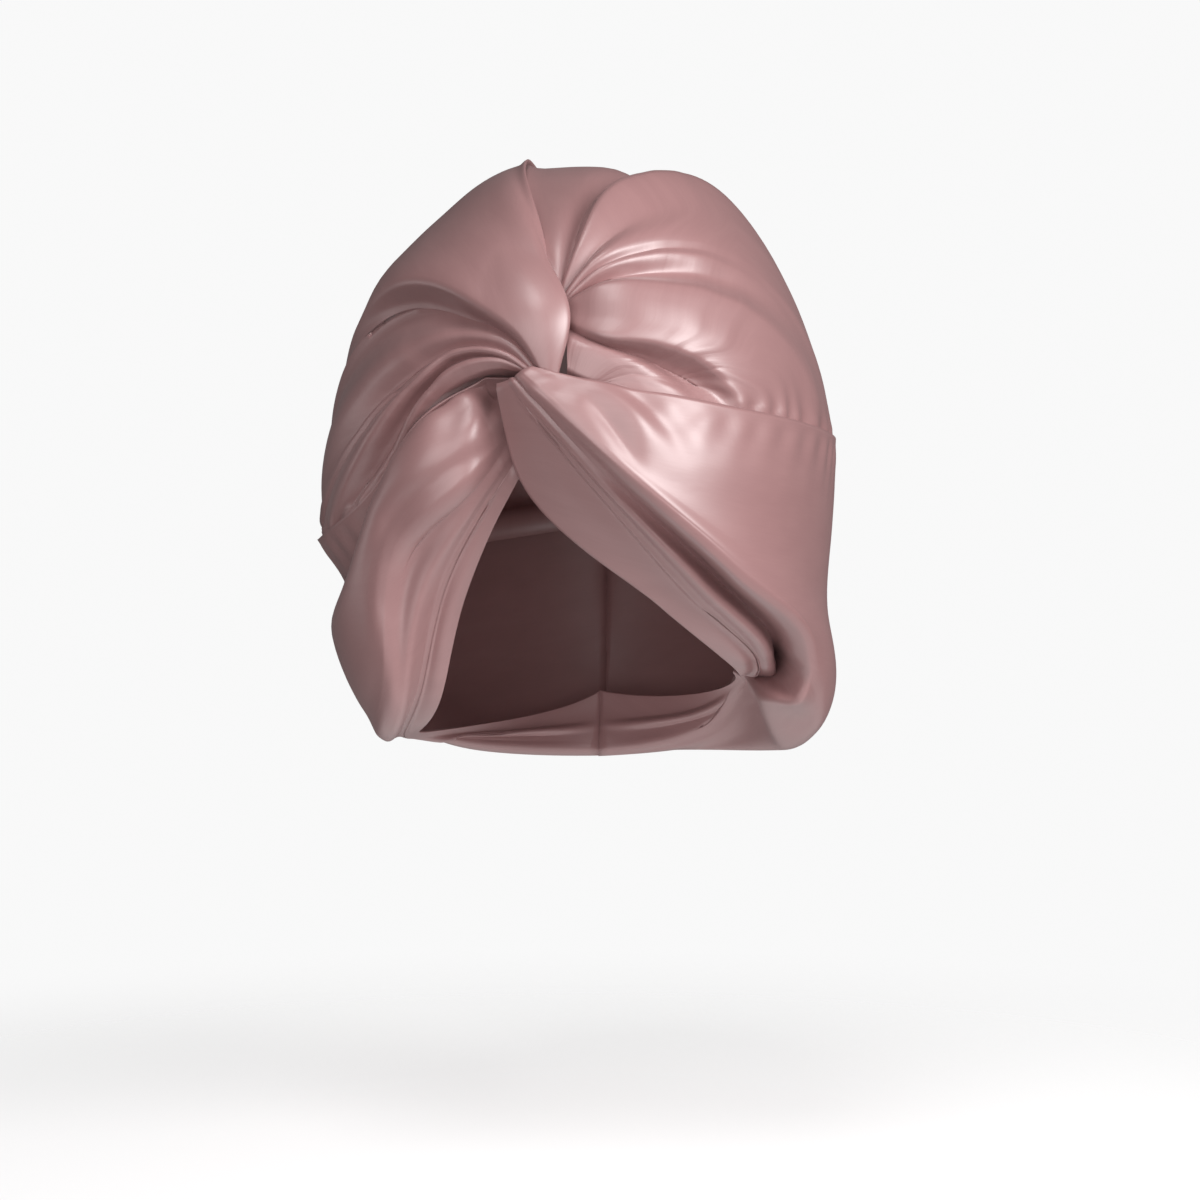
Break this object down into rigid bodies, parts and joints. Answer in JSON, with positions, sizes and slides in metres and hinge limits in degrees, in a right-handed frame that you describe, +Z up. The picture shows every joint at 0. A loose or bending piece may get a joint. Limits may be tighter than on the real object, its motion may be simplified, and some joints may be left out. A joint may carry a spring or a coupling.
{
  "type": "silk bonnet",
  "caption": "Soft satin turban bonnet: pleated crown halves interlock in a twist over the brow, and deep folded side bands frame the face and close at the nape.",
  "frame": {"origin": "on the bonnet's upright axis, at the level where the head's largest girth sits inside it", "axes": "+Z up through the crown, -Y out through the twist at the brow, +X to the viewer's right"},
  "size_m": [0.2128, 0.2546, 0.2486],
  "materials": {
    "crown_left_satin": "satin silk, dusty rose",
    "crown_right_satin": "satin silk, dusty rose",
    "band_left_satin": "satin silk, dusty rose",
    "band_right_satin": "satin silk, dusty rose"
  },
  "bodies": {
    "root": {"crown_left": "crown_left_satin", "crown_right": "crown_right_satin", "band_left": "band_left_satin", "band_right": "band_right_satin"}
  },
  "joints": []
}
